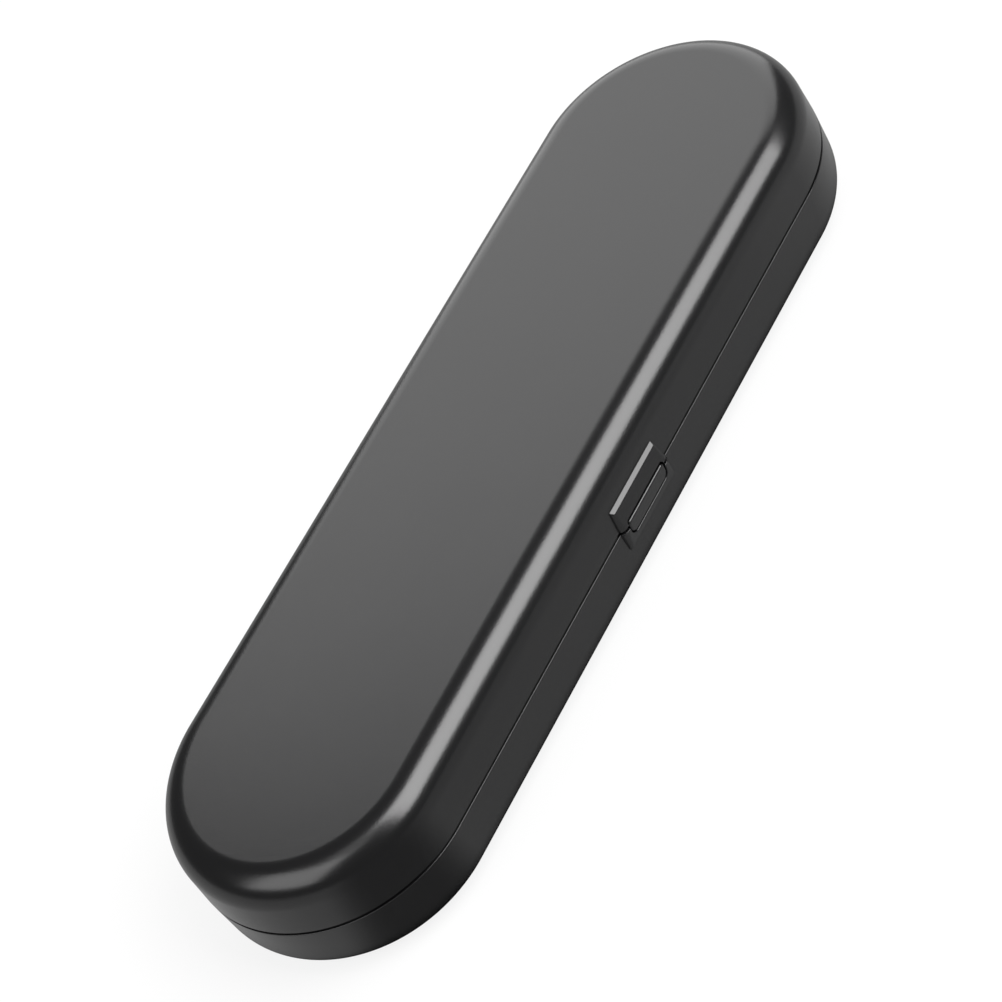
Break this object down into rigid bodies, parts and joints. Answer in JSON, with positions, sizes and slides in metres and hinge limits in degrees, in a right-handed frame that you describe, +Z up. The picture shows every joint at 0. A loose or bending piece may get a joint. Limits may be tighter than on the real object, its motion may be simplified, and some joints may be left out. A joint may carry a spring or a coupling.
{
  "type": "electric toothbrush travel case",
  "caption": "Rounded two-part travel case for an electric toothbrush: a hinged lid with a front press latch closes over a tray for the handle and brush heads.",
  "frame": {"origin": "under the middle of the closed case's whole box, on the face it rests on", "axes": "+X along the case, +Y from the latch at the front to the hinges at the back, +Z up through the lid"},
  "size_m": [0.2258, 0.0714, 0.0321],
  "materials": {
    "shell": "satin black moulded plastic with a fine even grain",
    "inner": "matt dark grey moulded plastic",
    "soft": "soft matt silicone",
    "foam": "closed-cell foam",
    "peg": "smooth light grey acetal",
    "steel": "plain stainless steel"
  },
  "bodies": {
    "base": {"base_shell": "shell", "hinge_pin_left": "steel", "hinge_pin_right": "steel", "latch_spring": "steel", "latch_bracket": "inner", "latch_screws": "steel", "base_tray": "inner", "tray_screws": "steel", "handle_pad_foot": "soft", "handle_pad_neck": "soft", "brush_peg_left": "peg", "brush_peg_right": "peg"},
    "lid": {"lid_shell": "shell", "lid_liner": "inner", "liner_screws": "steel", "latch_keeper": "steel", "keeper_screws": "steel", "lid_pad_foot": "soft", "lid_pad_neck": "soft", "head_foam_left": "foam", "head_foam_right": "foam"},
    "button": {"latch_button": "shell"}
  },
  "joints": [
    {"name": "lid_hinge", "type": "hinge", "parent": "base", "child": "lid", "pos_m": [0, 0.0336, 0.01725], "axis": [-1, 0, 0], "range_deg": [0, 180]},
    {"name": "latch_press", "type": "slide", "parent": "base", "child": "button", "axis": [0, 1, 0], "range_m": [0, 0.0012], "stiffness_N_per_m": 400, "springref_m": -0.0015, "deforming": ["latch_spring"]}
  ]
}
